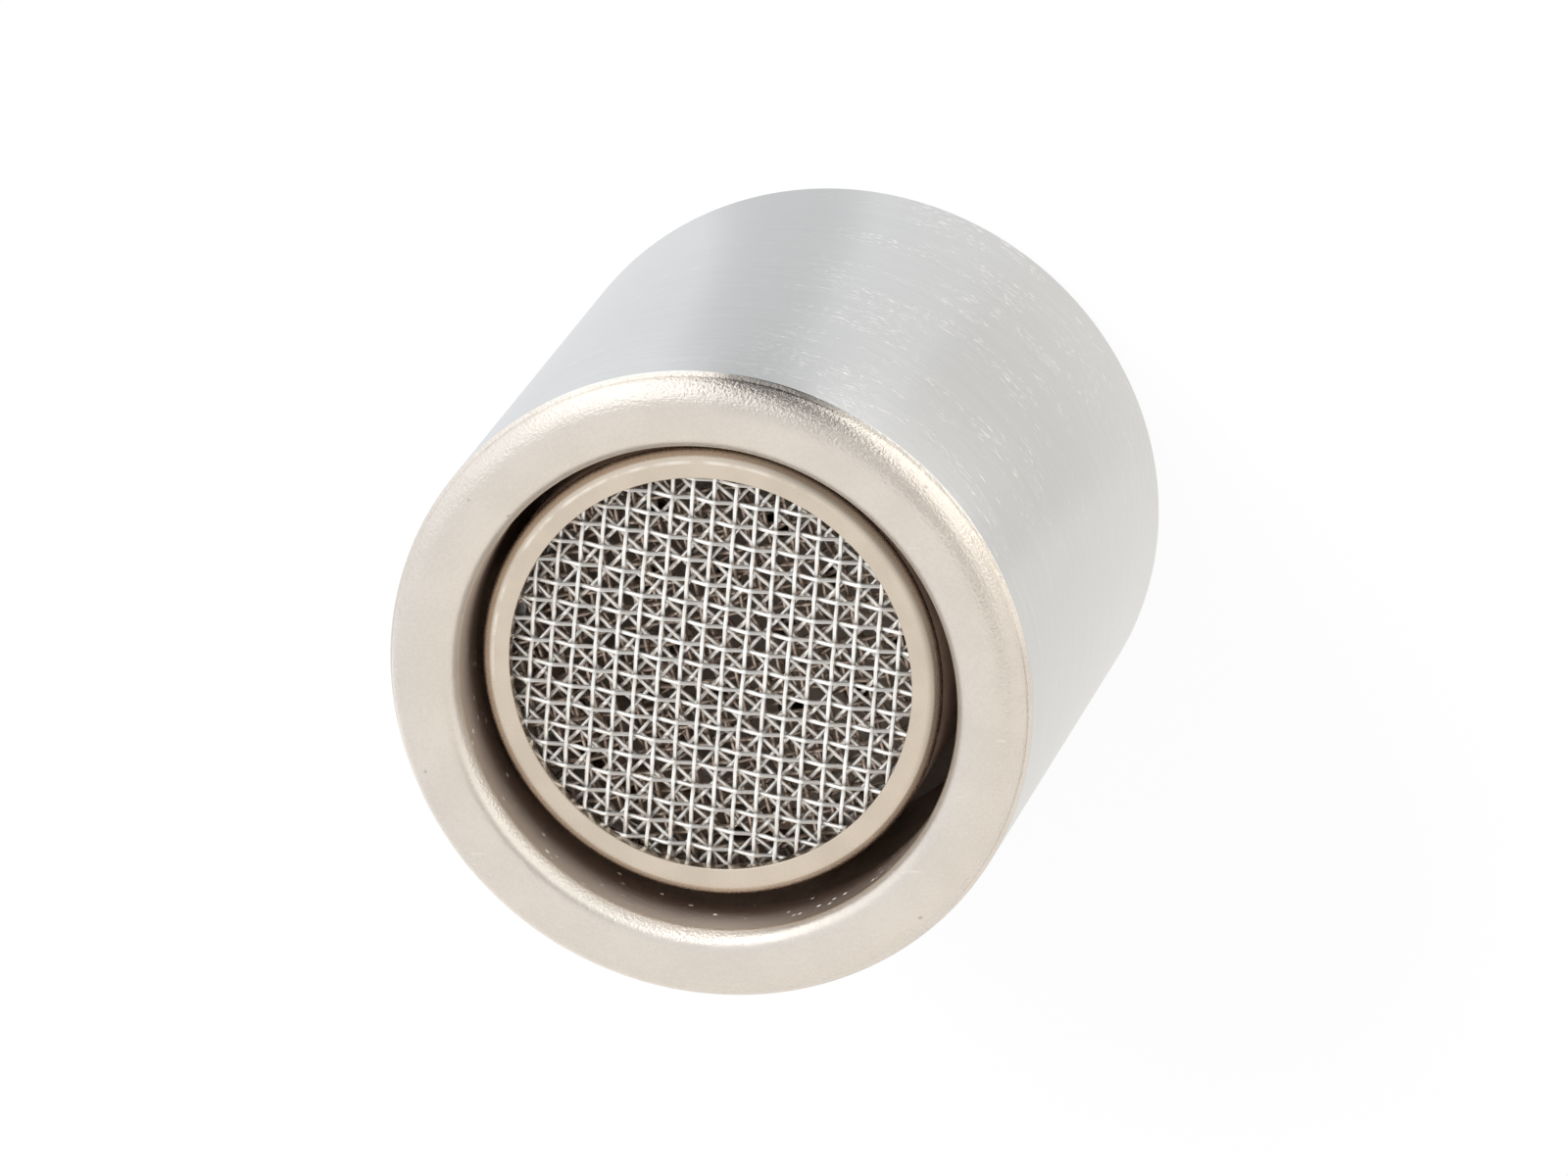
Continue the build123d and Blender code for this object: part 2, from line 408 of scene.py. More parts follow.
def satin_plate(rgb, stain_and_shade, foot, throat):
    """Satin plate, grainy on its outer edge, with a painted highlight and painted shade at its foot and on
    its inner roll, and a dusty throat darkened towards the bottom by painted shade.
    """
    material, recipe = new_material("satin_plate")
    place = recipe.place()
    bearing = recipe.bearing(place)
    out = recipe.facing(place, bearing)
    rise = recipe.facing(place, (0, 0, 1))
    outer = recipe.ramp(out, LIP_CREST, LIP_CREST + 0.6 * MM)
    inner = recipe.fall(out, LIP_CREST - 0.9 * MM, LIP_CREST - 0.6 * MM)

    # All over: grain, brushing round the lip, clouds, stray scratches and specks
    grain = recipe.grain(place, (9000, 9000, 9000), 2)
    brushing = recipe.round_grain(place, 8500, 24, 2)
    cloud = recipe.grain(place, (420, 420, 420), 3)
    scratch = recipe.ramp(recipe.grain(place, (500, 4200, 4200), 1), 0.76, 0.82)
    speck = recipe.fall(recipe.spots(place, 520), 0.025, 0.055)

    # Foot: a painted highlight on one side, and a painted dark reflection and painted shade in the groove
    # beside that
    foot_lit_side = recipe.side(bearing, FOOT_HIGHLIGHT_SIDE, 0.84, 0.93)
    foot_highlight = outer * foot_lit_side * recipe.fall(rise, foot + 0.1 * MM, foot + 0.35 * MM)
    foot_shaded_side = recipe.side(bearing, FOOT_SHADE_SIDE, 0.972, 0.99)
    groove = recipe.fall(rise, foot, foot + 0.15 * MM)
    foot_shade = outer * foot_shaded_side * (0.12 + 0.7 * groove)

    # Inner roll: a painted highlight on one side, and painted shade on the other
    roll_lit_side = recipe.side(bearing, ROLL_HIGHLIGHT_SIDE, 0.6, 0.92)
    roll_low = recipe.ramp(rise, throat + 0.02 * MM, throat + 0.26 * MM)
    roll_high = recipe.fall(rise, throat + 0.58 * MM, throat + 0.7 * MM)
    roll_highlight = inner * roll_lit_side * roll_low * roll_high
    shaded_roll_side = recipe.side(bearing, ROLL_SHADE_SIDE, 0.5, 0.9)
    roll_shade = inner * shaded_roll_side * recipe.fall(rise, throat + 0.1 * MM, throat + 0.35 * MM)

    # Throat: dull and dusty at its edge, and darker further down with painted shade
    wall = inner * recipe.fall(rise, throat - 0.05 * MM, throat + 0.22 * MM)
    deep = inner * recipe.fall(rise + 0.4 * MM * cloud, throat - 1.7 * MM, throat)
    dust = wall * recipe.fall(recipe.spots(place, 2000), 0.12, 0.24) * recipe.ramp(cloud, 0.4, 0.6)
    # How far the throat wall's metal is dulled, less on the side with the painted shade
    dull_and_shade = 0.34 - 0.24 * shaded_roll_side

    rough = 0.12 + 0.55 * outer + 0.8 * roll_highlight
    brushed = 0.3 + 0.2 * outer
    tone = recipe.ramp(0.5 * cloud + 0.5 * grain, 0.35, 0.65)
    plate = recipe.mix(tone, opaque(rgb, 0.955), opaque(rgb, 1.035))
    marked = recipe.mix(scratch * 0.35, plate, opaque(rgb, 1.35))
    # Specks darken the plate, and so do the foot's painted dark reflection and shade
    specked_and_shaded = recipe.mix((speck * 0.4).larger(foot_shade), marked, opaque(rgb, 0.3))
    # Painted highlights at the foot and on the inner roll
    lip_highlighted = recipe.mix((0.7 * foot_highlight).larger(0.8 * roll_highlight), specked_and_shaded, HIGHLIGHT_AND_DUST_TONE)
    # Painted shade on one side of the inner roll
    roll_shaded = recipe.mix(0.8 * roll_shade, lip_highlighted, opaque(stain_and_shade, 0.55))
    # Painted shade on the throat wall, darker towards the bottom
    shaded = recipe.mix((0.6 * wall * (1.0 - roll_shade)).larger(deep), roll_shaded, opaque(stain_and_shade))
    recipe.surface(
        {
            "Base Color": recipe.mix(dust, shaded, HIGHLIGHT_AND_DUST_TONE),
            "Metallic": 1.0 - (dull_and_shade * (wall - deep)).larger(dust).larger(0.4 * roll_highlight),
            "Roughness": 0.28 + 0.06 * grain + 0.2 * wall,
            "Normal": recipe.bump((grain - 0.5) * rough + (brushing - 0.5) * brushed, 0.05 * MM),
        }
    )
    return material


def bore_plate(name, rgb, metallic):
    """Duller plate on the walls inside, in a brown darkened as painted shade, with turning lines and pits.
    """
    material, recipe = new_material(name)
    place = recipe.place()
    turning = recipe.grain(place, (150, 150, 6000), 2)
    pits = recipe.grain(place, (7000, 7000, 7000), 2)
    cloud = recipe.grain(place, (500, 500, 500), 3)
    plate = recipe.mix(recipe.ramp(cloud, 0.3, 0.7), opaque(rgb, 0.88), opaque(rgb, 1.05))
    recipe.surface(
        {
            "Base Color": plate,
            "Metallic": metallic,
            "Roughness": 0.46 + 0.12 * cloud,
            "Normal": recipe.bump(turning + 1.5 * pits, 0.012 * MM),
        }
    )
    return material


def warm_plate(rgb, ridge):
    """Warm plate on drawn sheet, with a painted highlight along the rim's ridge and painted shade on one
    side of its slope.
    """
    material, recipe = new_material("warm_plate")
    place = recipe.place()
    from_axis = recipe.vector("SUBTRACT", place, INSERT_AXIS)
    bearing = recipe.bearing(from_axis)
    out = recipe.facing(from_axis, bearing)
    crest = ridge + 0.03 * MM
    band = recipe.ramp(out, ridge - 0.08 * MM, ridge) * recipe.fall(out, crest, crest + 0.08 * MM)
    patch = recipe.ramp(recipe.grain(place, (1300, 1300, 1300), 2), 0.3, 0.65)
    # Painted highlight along the ridge on one side, broken into patches
    ridge_highlight = band * recipe.side(bearing, RIDGE_HIGHLIGHT_SIDE, 0.2, 0.9) * patch
    # Painted shade on one side of the slope outside the ridge
    slope_shaded_side = recipe.side(bearing, SLOPE_SHADE_SIDE, 0.4, 0.85)
    slope_shade = slope_shaded_side * recipe.ramp(out, ridge - 0.05 * MM, ridge + 0.27 * MM)
    grain = recipe.grain(place, (10000, 10000, 10000), 2)
    drawn = recipe.grain(place, (300, 300, 4000), 2)
    cloud = recipe.grain(place, (600, 600, 600), 3)
    plate = recipe.mix(recipe.ramp(cloud, 0.3, 0.7), opaque(rgb, 0.95), opaque(rgb, 1.04))
    ridge_highlighted = recipe.mix(ridge_highlight * 0.75, plate, RIDGE_HIGHLIGHT_TONE)
    recipe.surface(
        {
            "Base Color": recipe.mix(slope_shade * 0.7, ridge_highlighted, opaque(rgb, 0.42)),
            "Metallic": 1.0,
            "Roughness": 0.22 + 0.1 * grain,
            "Normal": recipe.bump(grain + 0.6 * drawn, 0.0012 * MM),
        }
    )
    return material


# The wire's own attributes: 1 where it lies over the wires it crosses and -1 where it dips under them,
# and 1 where the first set's wires climb and -1 where they fall
CRIMP = "crimp"
FLANK = "flank"


def drawn_wire(name, rgb):
    """Drawn wire, a little uneven in tone, with painted shade in its dips and on its falling flanks."""
    material, recipe = new_material(name)
    place = recipe.place()
    cloud = recipe.grain(place, (1500, 1500, 1500), 2)
    stain_and_shade = recipe.ramp(recipe.grain(place, (300, 300, 300), 2), 0.45, 0.75)
    plain = recipe.mix(recipe.ramp(cloud, 0.3, 0.7), opaque(rgb, 0.9), opaque(rgb, 1.08))
    height = recipe.node("ShaderNodeAttribute", {"attribute_name": CRIMP}, output="Fac")
    lean = recipe.node("ShaderNodeAttribute", {"attribute_name": FLANK}, output="Fac")
    # Painted shade where the wire dips under the wires it crosses, and on the falling flanks of the first
    # set
    dip_shade = recipe.fall(height, -1.0, 0.1)
    dull_and_shade = recipe.fall(lean, -0.5, 0.0)
    shade = (stain_and_shade * 0.25).larger(dip_shade * 0.6).larger(dull_and_shade * 0.75)
    recipe.surface(
        {
            "Base Color": recipe.mix(shade, plain, opaque(rgb, 0.5)),
            "Metallic": 0.75,
            "Roughness": 0.22 + 0.12 * cloud,
            "Normal": recipe.bump(cloud, 0.004 * MM),
        }
    )
    return material


def spring_steel(rgb):
    """Plain spring steel with rolling lines."""
    material, recipe = new_material("spring_steel")
    place = recipe.place()
    rolling = recipe.grain(place, (400, 400, 7000), 2)
    recipe.surface(
        {
            "Base Color": recipe.mix(rolling, opaque(rgb, 0.85), opaque(rgb, 1.1)),
            "Metallic": 1.0,
            "Roughness": 0.26 + 0.14 * rolling,
            "Normal": recipe.bump(rolling, 0.004 * MM),
        }
    )
    return material


def moulded_plastic(rgb):
    """Grey-brown moulding, darkened as painted shade behind the screens, with a faint spark texture."""
    material, recipe = new_material("moulded_plastic")
    place = recipe.place()
    spark = recipe.grain(place, (4500, 4500, 4500), 2)
    flow = recipe.grain(place, (260, 260, 260), 3)
    recipe.surface(
        {
            "Base Color": recipe.mix(flow, opaque(rgb, 0.94), opaque(rgb, 1.03)),
            "Roughness": 0.42 + 0.16 * spark,
            "Normal": recipe.bump(spark, 0.008 * MM),
        }
    )
    return material


def washer_rubber(rgb):
    """Matt black rubber, a little dusty."""
    material, recipe = new_material("washer_rubber")
    place = recipe.place()
    tooth = recipe.grain(place, (6000, 6000, 6000), 3)
    dust = recipe.ramp(recipe.grain(place, (700, 700, 700), 3), 0.5, 0.8)
    recipe.surface(
        {
            "Base Color": recipe.mix(dust * 0.4, opaque(rgb), opaque(rgb, 2.6)),
            "Roughness": 0.62 + 0.2 * tooth,
            "Normal": recipe.bump(tooth, 0.01 * MM),
        }
    )
    return material


def cap(bm, open_end):
    """Close an open end that an operator left."""
    edges = [part for part in open_end if isinstance(part, bmesh.types.BMEdge)]
    bmesh.ops.edgeloop_fill(bm, edges=edges)


def gather(bm, part):
    """Add a part's mesh to a larger one."""
    mesh = bpy.data.meshes.new("part")
    part.to_mesh(mesh)
    part.free()
    bm.from_mesh(mesh)
    bpy.data.meshes.remove(mesh)


def turned(corners, centre, steps=TURN_STEPS, sweep=math.tau):
    """Spin a closed outline of (radius, height, rounding) corners about an upright axis."""
    bm = bmesh.new()
    outline = [bm.verts.new((radius * WORK_SCALE, 0, height * WORK_SCALE)) for radius, height, _ in corners]
    bm.faces.new(outline)
    for radius, height, rounding in corners:
        if rounding:
            spot = Vector((radius * WORK_SCALE, 0, height * WORK_SCALE))
            bmesh.ops.bevel(
                bm,
                geom=[min(bm.verts, key=lambda vert: (vert.co - spot).length)],
                offset=rounding * WORK_SCALE,
                offset_type="OFFSET",
                segments=ROUND_SEGMENTS,
                profile=0.5,
                affect="VERTICES",
                material=-1,
            )
    bmesh.ops.delete(bm, geom=bm.faces[:], context="FACES_ONLY")
    first_end = bm.edges[:]
    whole = math.isclose(sweep, math.tau)
    last_end = bmesh.ops.spin(
        bm,
        geom=bm.verts[:] + first_end,
        axis=(0, 0, 1),
        angle=sweep,
        steps=steps,
        use_merge=whole,
    )["geom_last"]
    if not whole:
        cap(bm, first_end)
        cap(bm, last_end)
    bmesh.ops.scale(bm, vec=(1 / WORK_SCALE,) * 3, verts=bm.verts)
    bmesh.ops.translate(bm, vec=centre, verts=bm.verts)
    return bm


def add_piece(bm, name, materials, node):
    """Make the finished mesh a piece that stands for a CAD node and moves with the part."""
    bmesh.ops.remove_doubles(bm, verts=bm.verts, dist=MERGE_DISTANCE)
    bmesh.ops.recalc_face_normals(bm, faces=bm.faces)
    for face in bm.faces:
        face.smooth = True
    for edge in bm.edges:
        edge.smooth = edge.calc_face_angle(0.0) < CREASE_ANGLE
    mesh = bpy.data.meshes.new(name)
    bm.to_mesh(mesh)
    bm.free()
    for material in materials:
        mesh.materials.append(material)
    piece = bpy.data.objects.new(name, mesh)
    bpy.context.scene.collection.objects.link(piece)
    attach(piece, BODY)
    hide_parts(node)


def dress_node(node, material):
    """Give a CAD node that stays in view its finish."""
    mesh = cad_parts[node].data
    mesh.materials.clear()
    mesh.materials.append(material)


# The thread's section as shares of its pitch, and the steps in one turn
ROOT_SHARE = 0.86
CREST_SHARE = 0.2
THREAD_STEPS = 120

# How far the thread's root sits in the wall, and where its two ends are trimmed, in millimetres
ROOT_OVERLAP = 0.04
THREAD_ENTRY = 0.35
THREAD_RUNOUT = 0.25


def thread_ridge(sizes):
    """The ridge of the inlet thread: a helix trimmed flat at both ends."""
    pitch = sizes.thread_pitch * WORK_SCALE
    crest = sizes.thread_crest * WORK_SCALE
    root = sizes.thread_radius * WORK_SCALE + ROOT_OVERLAP
    bm = bmesh.new()
    section = [
        bm.verts.new((root, 0, -0.5 * ROOT_SHARE * pitch)),
        bm.verts.new((crest, 0, -0.5 * CREST_SHARE * pitch)),
        bm.verts.new((crest, 0, 0.5 * CREST_SHARE * pitch)),
        bm.verts.new((root, 0, 0.5 * ROOT_SHARE * pitch)),
    ]
    bm.faces.new(section)
    bmesh.ops.delete(bm, geom=bm.faces[:], context="FACES_ONLY")
    turns = math.ceil(sizes.thread_length / sizes.thread_pitch) + 1
    bmesh.ops.spin(
        bm,
        geom=bm.verts[:] + bm.edges[:],
        axis=(0, 0, 1),
        dvec=(0, 0, pitch / THREAD_STEPS),
        angle=turns * math.tau,
        steps=turns * THREAD_STEPS,
    )
    for height, side in ((THREAD_ENTRY, -1), (sizes.thread_length * WORK_SCALE - THREAD_RUNOUT, 1)):
        cut = bmesh.ops.bisect_plane(
            bm,
            geom=bm.verts[:] + bm.edges[:] + bm.faces[:],
            plane_co=(0, 0, height),
            plane_no=(0, 0, side),
            clear_outer=True,
        )["geom_cut"]
        cap(bm, cut)
    bmesh.ops.scale(bm, vec=(1 / WORK_SCALE,) * 3, verts=bm.verts)
    return bm


# The azimuth, in degrees, that the throat is off centre towards
DRIFT_SIDE = 60


class AERATOR_OT_housing(bpy.types.Operator):
    """Turn the housing: brushed body, satin lip, throat, chamber and threaded inlet"""

    bl_idname = "aerator.housing"
    bl_label = "Housing"

    def execute(self, context):
        sizes = context.scene.aerator_housing
        finishes = context.scene.aerator_finishes
        lip_radius = sizes.radius - sizes.lip_step
        lip_base = sizes.top - sizes.lip_height
        seat = SLEEVE.low
        throat_end = sizes.top - sizes.throat_depth
        flare = sizes.chamber_radius - sizes.throat_radius
        relief = sizes.relief_radius - sizes.thread_radius
        soft = 0.04 * MM
        bm = turned(
            [
                (sizes.relief_radius, 0, soft),
                (sizes.radius - sizes.edge_break, 0, soft),
                (sizes.radius, sizes.edge_break, soft),
                (sizes.radius, lip_base - sizes.shoulder, soft),
                (lip_radius, lip_base, soft),
                (lip_radius, sizes.top, sizes.lip_outer_round),
                (sizes.throat_radius, sizes.top, sizes.lip_inner_round),
                (sizes.throat_radius, throat_end, soft),
                (sizes.chamber_radius, throat_end - flare, soft),
                (sizes.chamber_radius, seat, soft),
                (sizes.relief_radius, seat, 3 * soft),
                (sizes.relief_radius, sizes.thread_length, soft),
                (sizes.thread_radius, sizes.thread_length - relief, soft),
                (sizes.thread_radius, relief, soft),
            ],
            HOUSING.axis,
        )
        drift = direction(DRIFT_SIDE) * sizes.throat_drift
        for vert in bm.verts:
            if vert.co.z > throat_end and math.hypot(vert.co.x, vert.co.y) < LIP_CREST:
                vert.co += drift
        gather(bm, thread_ridge(sizes))
        for face in bm.faces:
            middle = face.calc_center_median()
            outside = math.hypot(middle.x, middle.y) > sizes.relief_radius
            if middle.z > (lip_base - sizes.shoulder if outside else throat_end):
                face.material_index = 1
            else:
                face.material_index = 0 if outside else 2
        plates = [
            brushed_plate(finishes.body),
            satin_plate(finishes.lip, finishes.bore, lip_base, sizes.top - sizes.lip_inner_round),
            bore_plate("bore_plate", finishes.bore, 0.9),
        ]
        add_piece(bm, "housing_shell", plates, "housing")
        return {"FINISHED"}


def cut_windows(bm, sizes):
    """Open the air windows through both walls and close their sides."""
    spacing = math.tau / sizes.window_count
    half_width = spacing / 4
    for number in range(sizes.window_count):
        panes = set()
        for face in bm.faces:
            middle = face.calc_center_median()
            turn = math.atan2(middle.y, middle.x) - number * spacing
            turn = (turn + math.pi) % math.tau - math.pi
            if sizes.window_low < middle.z < sizes.window_high and abs(turn) < half_width:
                panes.add(face)
        sides = [edge for edge in bm.edges if sum(face in panes for face in edge.link_faces) == 1]
        bmesh.ops.delete(bm, geom=list(panes), context="FACES")
        bmesh.ops.bridge_loops(bm, edges=sides)


class AERATOR_OT_sleeve(bpy.types.Operator):
    """Draw the sleeve: a cup with an in-turned rim and air windows"""

    bl_idname = "aerator.sleeve"
    bl_label = "Screen sleeve"

    def execute(self, context):
        sizes = context.scene.aerator_insert
        bore = SLEEVE.radius - sizes.sleeve_wall
        opening = SLEEVE.radius - sizes.rim_width
        under_rim = SLEEVE.high - sizes.sleeve_wall
        soft = 0.05 * MM
        bm = turned(
            [
                (bore, SLEEVE.low, 0),
                (SLEEVE.radius, SLEEVE.low, 0),
                (SLEEVE.radius, sizes.window_low, 0),
                (SLEEVE.radius, sizes.window_high, 0),
                (SLEEVE.radius, SLEEVE.high - sizes.rim_drop, sizes.rim_round),
                (opening + sizes.rim_flat, SLEEVE.high, 2 * soft),
                (opening, SLEEVE.high, soft),
                (opening, under_rim, soft),
                (bore, under_rim, 0),
                (bore, sizes.window_high, 0),
                (bore, sizes.window_low, 0),
            ],
            Vector(),
            2 * TURN_STEPS,
        )
        cut_windows(bm, sizes)
        for face in bm.faces:
            face.material_index = 0 if face.calc_center_median().z > under_rim else 1
        bmesh.ops.translate(bm, vec=INSERT_AXIS, verts=bm.verts)
        finishes = context.scene.aerator_finishes
        plates = [
            warm_plate(finishes.sleeve, opening + sizes.rim_flat),
            bore_plate("sleeve_wall", finishes.bore, 0.65),
        ]
        add_piece(bm, "sleeve_cup", plates, "screen_sleeve")
        return {"FINISHED"}


Weave = namedtuple("Weave", "piece node turn across along finish sides segments")
WireSet = namedtuple("WireSet", "spacing first")

# One wire: its distance from the middle, the spacing and phase of the wires it crosses, the side that it
# starts on, how far it swings, whether its falling flanks get painted shade, and how it strays
Wire = namedtuple("Wire", "offset spacing phase side swing marked stray")

# Each screen's turn in degrees and its two sets of wires, from the outlet inwards.
# A set's spacing and the place of its middle wire are shares of the pitch.
WEAVES = (
    Weave("outlet_weave", "outlet_screen", -8.8, WireSet(0.991, 0.19), WireSet(1.009, -0.46), "wire", 8, 8),
    # The second, third and fourth screens take darker wire as painted shade
    Weave("second_weave", "second_screen", 44.6, WireSet(1.021, 0.49), WireSet(0.977, 0.07), "dull_and_shade", 8, 8),
    Weave("third_weave", "third_screen", 8.0, WireSet(1.0, 0.31), WireSet(1.0, 0.12), "shaded", 6, 6),
    Weave("fourth_weave", "fourth_screen", 29.0, WireSet(1.0, 0.05), WireSet(1.0, 0.37), "shaded", 6, 6),
)
WEAVE_SEED = 22

# How far the first and the second set's wires swing up and down, as shares of their diameter,
# and how straight they run between their bends
CRIMP_SHARES = (0.68, 0.36)
CRIMP_BEND = 0.93

# How often a wire sways from end to end, and how near to the edge the last wire may lie
WANDER_WAVES = 5.0
LAST_WIRE_SHARE = 0.97


def crimped_wire(weave, sizes, wire):
    """One wire along the X axis, crimped over and under the wires that it crosses."""
    half = math.sqrt(sizes.reach**2 - wire.offset**2)
    steps = round(2 * half / wire.spacing * weave.segments)
    bm = bmesh.new()
    bmesh.ops.create_circle(
        bm,
        cap_ends=True,
        segments=weave.sides,
        radius=sizes.diameter / 2,
        matrix=Matrix.Translation((-half, 0, 0)) @ Matrix.Rotation(math.pi / 2, 4, "Y"),
    )
    drawn = bmesh.ops.spin(
        bm,
        geom=bm.verts[:] + bm.edges[:],
        axis=(1, 0, 0),
        dvec=(2 * half / steps, 0, 0),
        angle=0,
        steps=steps,
    )["geom_last"]
    cap(bm, drawn)
    crimp = bm.verts.layers.float.new(CRIMP)
    flank = bm.verts.layers.float.new(FLANK)
    aside, slant, start = wire.stray
    for vert in bm.verts:
        along = vert.co.x / sizes.reach
        sway = 0.5 * sizes.wander * math.sin(start + along * WANDER_WAVES)
        turn = math.pi * (vert.co.x / wire.spacing - wire.phase)
        vert[crimp] = wire.side * math.asin(CRIMP_BEND * math.cos(turn)) / math.asin(CRIMP_BEND)
        vert[flank] = -wire.side * math.sin(turn) if wire.marked else 0.0
        vert.co.y += wire.offset + aside + slant * along + sway
        vert.co.z += wire.swing * sizes.diameter * vert[crimp]
    return bm


def woven_screen(weave, sizes, random):
    """Two sets of crimped wires, over and under each other, bowed a little in the middle."""
    bm = bmesh.new()
    place = turned_node(weave.node)
    reach_count = math.ceil(sizes.reach / sizes.pitch)
    # Seen along a wire of the first set, the second set's wires count backwards.
    sets = ((0, weave.across, weave.along, -1), (90, weave.along, weave.across, 1))
    for (quarter, own, other, sense), swing in zip(sets, CRIMP_SHARES):
        turn = math.radians(weave.turn + quarter)
        for number in range(-reach_count, reach_count + 1):
            offset = (number + own.first) * own.spacing * sizes.pitch
            stray = (
                random.uniform(-sizes.wander, sizes.wander),
                random.uniform(-sizes.wander, sizes.wander),
                random.uniform(0, math.tau),
            )
            if abs(offset) > LAST_WIRE_SHARE * sizes.reach:
                continue
            side = sense * (-1) ** number
            spacing = other.spacing * sizes.pitch
            wire = Wire(offset, spacing, sense * other.first, side, swing, quarter == 0, stray)
            bent = crimped_wire(weave, sizes, wire)
            bmesh.ops.rotate(bent, matrix=Matrix.Rotation(turn, 3, "Z"), verts=bent.verts)
            gather(bm, bent)
    for vert in bm.verts:
        out = math.hypot(vert.co.x, vert.co.y) / sizes.reach
        vert.co.z += sizes.bow * max(0.0, 1 - out**2)
    middle = (place.low + place.high) / 2
    bmesh.ops.translate(bm, vec=INSERT_AXIS + Vector((0, 0, middle)), verts=bm.verts)
    return bm


class AERATOR_OT_screens(bpy.types.Operator):
    """Weave the four wire screens and stack them under the sleeve's rim"""

    bl_idname = "aerator.screens"
    bl_label = "Woven screens"

    def execute(self, context):
        sizes = context.scene.aerator_wire
        finishes = context.scene.aerator_finishes
        wires = {
            "wire": drawn_wire("drawn_wire", finishes.wire),
            "dull_and_shade": drawn_wire("shaded_second_wire", finishes.shaded_under_wire),
            "shaded": drawn_wire("shaded_inner_wire", finishes.shaded_deep_wire),
        }
        random = Random(WEAVE_SEED)
        for weave in WEAVES:
            bm = woven_screen(weave, sizes, random)
            add_piece(bm, weave.piece, [wires[weave.finish]], weave.node)
        return {"FINISHED"}


class AERATOR_OT_retainer(bpy.types.Operator):
    """Bend the split ring that holds the screens up"""

    bl_idname = "aerator.retainer"
    bl_label = "Retainer ring"

    def execute(self, context):
        sizes = context.scene.aerator_insert
        inner = RETAINER.radius - sizes.retainer_width
        soft = 0.12 * MM
        half_split = math.asin(sizes.retainer_split / 2 / RETAINER.radius)
        bm = turned(
            [
                (inner, RETAINER.low, soft),
                (RETAINER.radius, RETAINER.low, soft),
                (RETAINER.radius, RETAINER.high, soft),
                (inner, RETAINER.high, soft),
            ],
            Vector(),
            sweep=math.tau - 2 * half_split,
        )
        bmesh.ops.rotate(bm, matrix=Matrix.Rotation(half_split, 3, "Z"), verts=bm.verts)
        bmesh.ops.translate(bm, vec=INSERT_AXIS, verts=bm.verts)
        steel = spring_steel(context.scene.aerator_finishes.spring)
        add_piece(bm, "retainer_hoop", [steel], "retainer_ring")
        return {"FINISHED"}


class AERATOR_OT_mouldings(bpy.types.Operator):
    """Mould the jet carrier, and finish the jet disc and the strainer dome in its pocket"""

    bl_idname = "aerator.mouldings"
    bl_label = "Moulded insert"

    def execute(self, context):
        sizes = context.scene.aerator_insert
        plastic = moulded_plastic(context.scene.aerator_finishes.plastic)
        skirt_bore = sizes.skirt_radius - sizes.skirt_wall
        pocket_floor = CARRIER.low + sizes.pocket_depth
        soft = 0.12 * MM
        bm = turned(
            [
                (sizes.pocket_radius, CARRIER.low, soft),
                (CARRIER.radius, CARRIER.low, 2.5 * soft),
                (CARRIER.radius, SLEEVE.low, soft),
                (sizes.skirt_radius, SLEEVE.low, 0),
                (sizes.skirt_radius, CARRIER.high, soft),
                (skirt_bore, CARRIER.high, soft),
                (skirt_bore, pocket_floor, soft),
                (sizes.pocket_radius, pocket_floor, 0),
            ],
            CARRIER.axis,
        )
        add_piece(bm, "carrier_moulding", [plastic], "jet_carrier")
        dress_node("jet_disc", plastic)
        dress_node("strainer_dome", plastic)
        return {"FINISHED"}


class AERATOR_OT_washer(bpy.types.Operator):
    """Punch the rubber seal washer, with softened edges"""

    bl_idname = "aerator.washer"
    bl_label = "Seal washer"

    def execute(self, context):
        bore = context.scene.aerator_insert.washer_bore
        soft = 0.15 * MM
        bm = turned(
            [
                (bore, WASHER.low, soft),
                (WASHER.radius, WASHER.low, soft),
                (WASHER.radius, WASHER.high, soft),
                (bore, WASHER.high, soft),
            ],
            WASHER.axis,
        )
        rubber = washer_rubber(context.scene.aerator_finishes.rubber)
        add_piece(bm, "washer_ring", [rubber], "seal_washer")
        return {"FINISHED"}


Card = namedtuple("Card", "azimuth half_width low high edge gain")

# Soft cards round the part, seen only in its reflections: where each hangs and how wide, low and high it
# reaches, how soft its edge is, all in degrees, and how much lighter or darker than white it is
CARDS = (
    Card(114, 20, -42, 54, 4, 0.70),
    Card(149, 18, -42, 48, 6, 0.22),
    Card(47, 24, -42, -28, 2, 0.70),
    Card(39, 19, -28, -13, 4, 0.64),
    Card(32, 16, -13, 12, 6, 0.60),
    Card(87, 12, -41, -30, 2, -1.60),
    Card(78, 11, -31, -8, 4, -0.90),
    Card(72, 10, -20, 36, 6, -0.64),
    Card(32, 40, 38, 84, 8, -0.34),
    Card(97, 10, -78, -44, 9, -0.16),
    Card(30, 24, -60, -42, 5, -0.08),
    Card(-140, 28, -62, -18, 8, 0.26),
)


def studio_level(recipe, towards):
    """How bright the studio is in a direction from the outlet: white, with soft cards."""
    level = 1.0
    rise = recipe.facing(towards, (0, 0, 1))
    bearing = recipe.bearing(towards)
    for card in CARDS:
        sides = [math.cos(math.radians(card.half_width + step * card.edge)) for step in (1, -1)]
        foot = [math.sin(math.radians(card.low + step * card.edge)) for step in (-1, 1)]
        head = [math.sin(math.radians(card.high + step * card.edge)) for step in (-1, 1)]
        upright = recipe.ramp(rise, *foot) * recipe.fall(rise, *head)
        level = card.gain * recipe.side(bearing, card.azimuth, *sides) * upright + level
    return level.larger(0.0)


